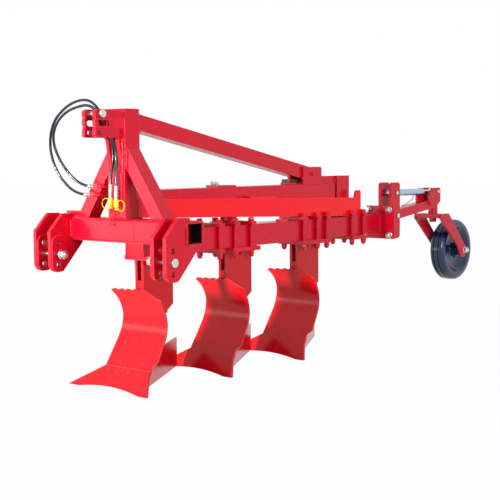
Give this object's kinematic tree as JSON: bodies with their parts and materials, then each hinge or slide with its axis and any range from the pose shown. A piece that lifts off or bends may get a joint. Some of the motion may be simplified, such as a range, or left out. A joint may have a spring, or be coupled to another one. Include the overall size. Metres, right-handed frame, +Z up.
{
  "type": "mouldboard plough",
  "caption": "Tractor-mounted mouldboard plough with a braced headstock, box beam, clamped plough bodies and a hydraulically set castor gauge wheel at the rear.",
  "frame": {"origin": "on the ground, under the centre of the bounding box of the rigid pieces", "axes": "+Y is the plough's length, pointing to its rear; +Z is up; +X is to the plough's left, seen in the direction of travel"},
  "size_m": [0.986, 3.5104, 1.474],
  "materials": {
    "frame_red": "gloss paint, cherry red",
    "body_red": "gloss paint, cherry red, unused",
    "zinc_steel": "bright zinc plate",
    "chrome_rod": "ground and chromed",
    "cylinder_paint": "silver-blue gloss",
    "black_steel": "black paint",
    "wheel_black": "blue-black, dressed to a shine",
    "black_hose": "satin black hose cover",
    "yellow_cap": "yellow moulded plastic"
  },
  "bodies": {
    "frame": {"arm_pin": "zinc_steel", "brace": "frame_red", "brace_bracket": "frame_red", "clamp_1": "frame_red", "clamp_2": "frame_red", "clamp_3": "frame_red", "clamp_4": "frame_red", "clamp_5": "frame_red", "coupler_1": "zinc_steel", "coupler_2": "zinc_steel", "cylinder_pin": "zinc_steel", "dust_cap_1": "yellow_cap", "dust_cap_2": "yellow_cap", "head_tube": "frame_red", "hitch_left_inner": "frame_red", "hitch_left_outer": "frame_red", "hitch_pin_left": "zinc_steel", "hitch_pin_right": "zinc_steel", "hitch_right_inner": "frame_red", "hitch_right_outer": "frame_red", "hose_1": "black_hose", "hose_2": "black_hose", "landside_1": "body_red", "landside_2": "body_red", "landside_3": "body_red", "main_beam": "frame_red", "mast_leg_left": "frame_red", "mast_leg_right": "frame_red", "mast_post": "frame_red", "mouldboard_1": "body_red", "mouldboard_2": "body_red", "mouldboard_3": "body_red", "pipe_1": "frame_red", "pipe_2": "frame_red", "rear_upright": "frame_red", "saddle_1": "frame_red", "saddle_2": "frame_red", "shank_1": "body_red", "shank_2": "body_red", "shank_3": "body_red", "share_1": "body_red", "share_2": "body_red", "share_3": "body_red", "side_rail": "frame_red", "top_cheek_left": "frame_red", "top_cheek_right": "frame_red", "top_pin": "zinc_steel", "upper_beam": "frame_red", "valve_block": "black_steel", "wheel_carrier": "frame_red"},
    "arm": {"wheel_arm": "frame_red", "rod_pin": "zinc_steel"},
    "barrel": {"cylinder_barrel": "cylinder_paint"},
    "rod": {"cylinder_rod": "chrome_rod"},
    "fork": {"castor_fork": "frame_red", "wheel_axle": "zinc_steel"},
    "wheel": {"wheel": "wheel_black"}
  },
  "joints": [
    {"name": "arm_hinge", "type": "hinge", "parent": "frame", "child": "arm", "pos_m": [0.085, 0.75875, 0.797], "axis": [1, 0, 0], "range_deg": [-16, 10]},
    {"name": "barrel_hinge", "type": "hinge", "parent": "frame", "child": "barrel", "pos_m": [0.085, 0.74575, 0.945], "axis": [1, 0, 0], "range_deg": [-15.8, 10]},
    {"name": "rod_slide", "type": "slide", "parent": "barrel", "child": "rod", "axis": [0, 1, -0.0094], "range_m": [-0.028, 0.043]},
    {"name": "fork_swivel", "type": "hinge", "parent": "arm", "child": "fork", "pos_m": [0.085, 1.29175, 0.79], "axis": [0, 0, 1], "range_deg": [-75, 75]},
    {"name": "wheel_spin", "type": "hinge", "parent": "fork", "child": "wheel", "pos_m": [0.085, 1.54175, 0.521], "axis": [1, 0, 0], "continuous": true}
  ],
  "couplings": [
    {"joint": "barrel_hinge", "follows": "arm_hinge", "ratio": 0.965},
    {"joint": "rod_slide", "follows": "arm_hinge", "m_per_rad": -0.1455}
  ]
}
